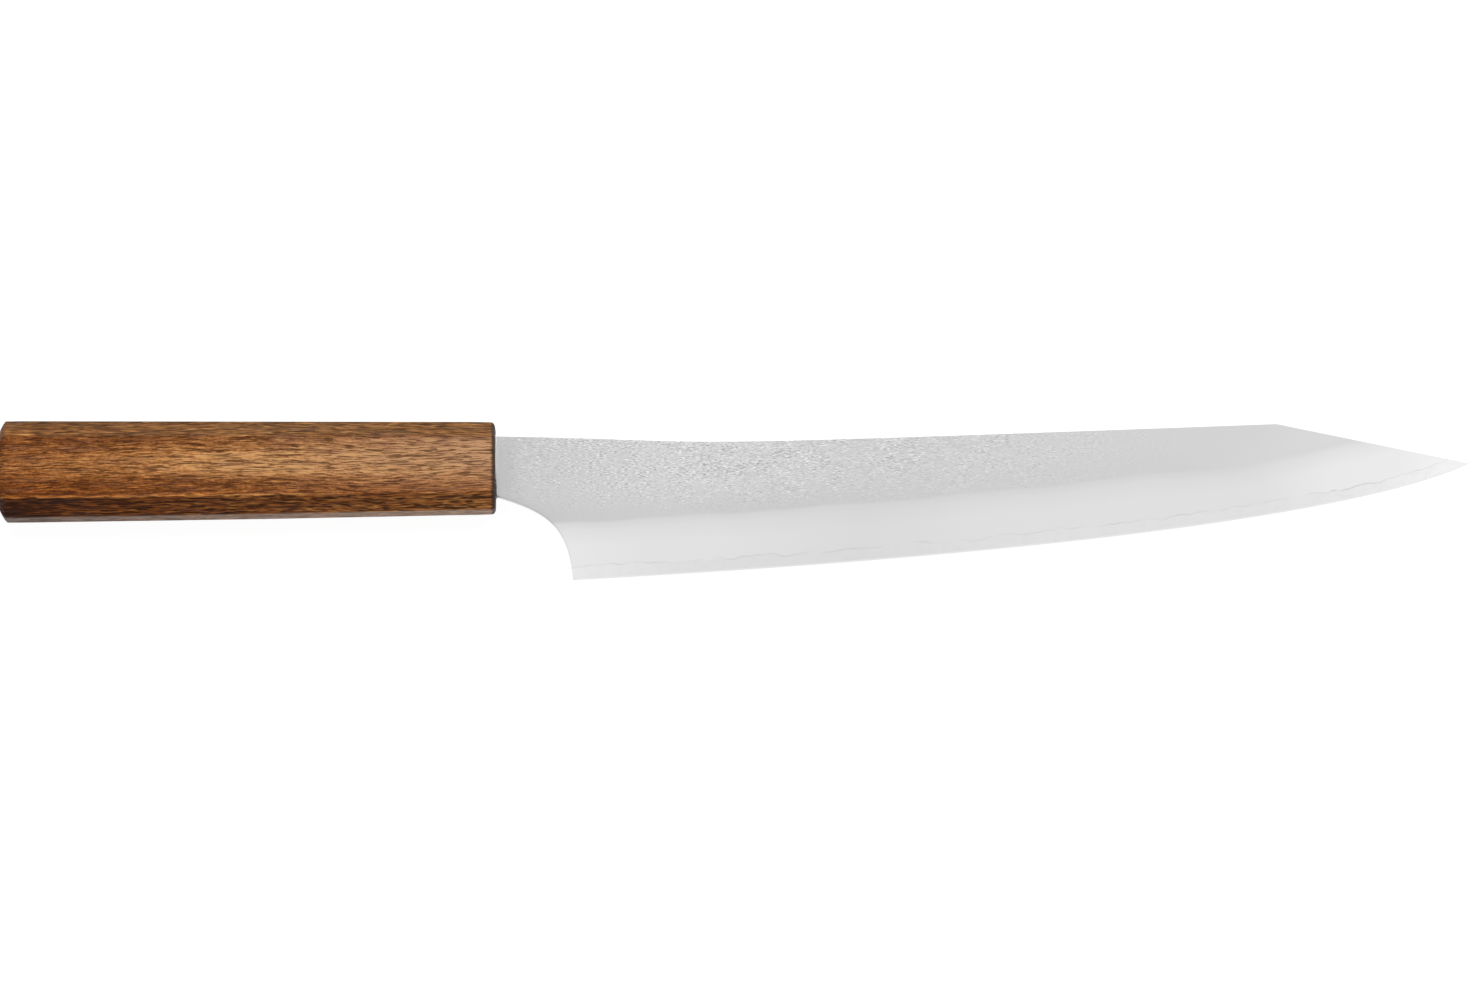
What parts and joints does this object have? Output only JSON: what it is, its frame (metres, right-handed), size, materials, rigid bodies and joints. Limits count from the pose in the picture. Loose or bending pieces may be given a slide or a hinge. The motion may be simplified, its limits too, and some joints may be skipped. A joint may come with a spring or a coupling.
{
  "type": "sujihiki knife",
  "caption": "Long slicing knife with a laminated, ground blade, clipped tip and curved heel, on a hidden tang in a tapered octagonal wooden handle.",
  "frame": {"origin": "bottom centre of the part's box, as the knife lies on its left side", "axes": "+X along the handle's axis towards the tip, +Y towards the spine, +Z square to the blade's right face"},
  "size_m": [0.3919, 0.043, 0.0192],
  "materials": {
    "core_steel": "hard core steel, bare along the edge, ground and honed to a fine satin",
    "cladding_steel": "stainless, pear-skin texture above the blade road and satin polish below it",
    "handle_wood": "dark oak with open grain under a thin satin lacquer",
    "bedding_adhesive": "cured adhesive",
    "seal": "smooth cured sealant"
  },
  "bodies": {
    "root": {"core_steel": "core_steel", "right_cladding": "cladding_steel", "left_cladding": "cladding_steel", "handle_body": "handle_wood", "tang_bedding": "bedding_adhesive", "mouth_seal": "seal"}
  },
  "joints": []
}
